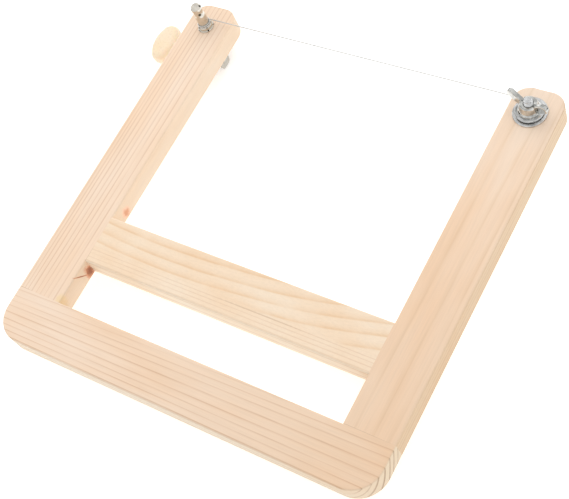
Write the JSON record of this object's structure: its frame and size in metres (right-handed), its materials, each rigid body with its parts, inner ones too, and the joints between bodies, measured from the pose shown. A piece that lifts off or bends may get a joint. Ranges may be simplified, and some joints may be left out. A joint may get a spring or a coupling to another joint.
{
  "type": "wire butter slicer",
  "caption": "Hand-held wire cutting bow: open pine frame with a steel wire across the arm tips, tightened by a geared machine head and held by a wing nut.",
  "frame": {"origin": "centre of the rail's underside", "axes": "+X along the rail towards the wing nut, +Y from the rail towards the wire, +Z out of the frame's top face"},
  "size_m": [0.2575, 0.226, 0.0431],
  "materials": {
    "pine_rail": "sanded bare pine, straight grain along the rail",
    "pine_left_arm": "sanded bare pine, fine straight grain along the arm",
    "pine_right_arm": "sanded bare pine, faint wide flat-sawn grain",
    "pine_crossbar": "sanded bare pine, broad orange growth bands",
    "beech_dowel": "turned beech",
    "nickel_plated_steel": "bright nickel plate",
    "chromed_post": "polished chrome plate",
    "worm_wheel_brass": "machined brass",
    "cream_button": "moulded cream plastic",
    "steel_wire": "drawn stainless wire",
    "zinc_plated_steel": "bright zinc plate",
    "bright_cast_zinc": "plated casting, polished"
  },
  "bodies": {
    "frame": {"bottom_rail": "pine_rail", "left_arm": "pine_left_arm", "right_arm": "pine_right_arm", "crossbar": "pine_crossbar", "corner_dowels_left": "beech_dowel", "corner_dowels_right": "beech_dowel", "crossbar_dowels_left": "beech_dowel", "crossbar_dowels_right": "beech_dowel", "tuner_plate": "nickel_plated_steel", "tuner_plate_screws": "nickel_plated_steel", "post_ferrule": "nickel_plated_steel", "cutting_wire": "steel_wire", "clamp_bolt": "zinc_plated_steel", "head_washer": "zinc_plated_steel", "large_washer": "zinc_plated_steel"},
    "worm": {"worm_shaft": "nickel_plated_steel", "tuner_button": "cream_button"},
    "post": {"string_post": "chromed_post", "worm_wheel": "worm_wheel_brass", "wheel_screw": "nickel_plated_steel", "wire_windings": "steel_wire"},
    "clamp_washer": {"clamp_washer": "zinc_plated_steel"},
    "wing_nut": {"wing_nut": "bright_cast_zinc"}
  },
  "joints": [
    {"name": "button_spin", "type": "hinge", "parent": "frame", "child": "worm", "pos_m": [-0.1017, 0.1894, -0.006], "axis": [1, 0, 0], "continuous": true},
    {"name": "post_spin", "type": "hinge", "parent": "frame", "child": "post", "pos_m": [-0.1017, 0.1972, 0], "axis": [0, 0, 1], "continuous": true},
    {"name": "clamp_washer_lift", "type": "slide", "parent": "frame", "child": "clamp_washer", "axis": [0, 0, 1], "range_m": [0, 0.0016]},
    {"name": "wing_nut_spin", "type": "hinge", "parent": "clamp_washer", "child": "wing_nut", "pos_m": [0.0998, 0.1972, 0.016], "axis": [0, 0, 1], "range_deg": [0, 720]}
  ],
  "couplings": [
    {"joint": "post_spin", "follows": "button_spin", "ratio": -0.071429},
    {"joint": "wing_nut_spin", "follows": "clamp_washer_lift", "rad_per_m": 7853.2}
  ]
}
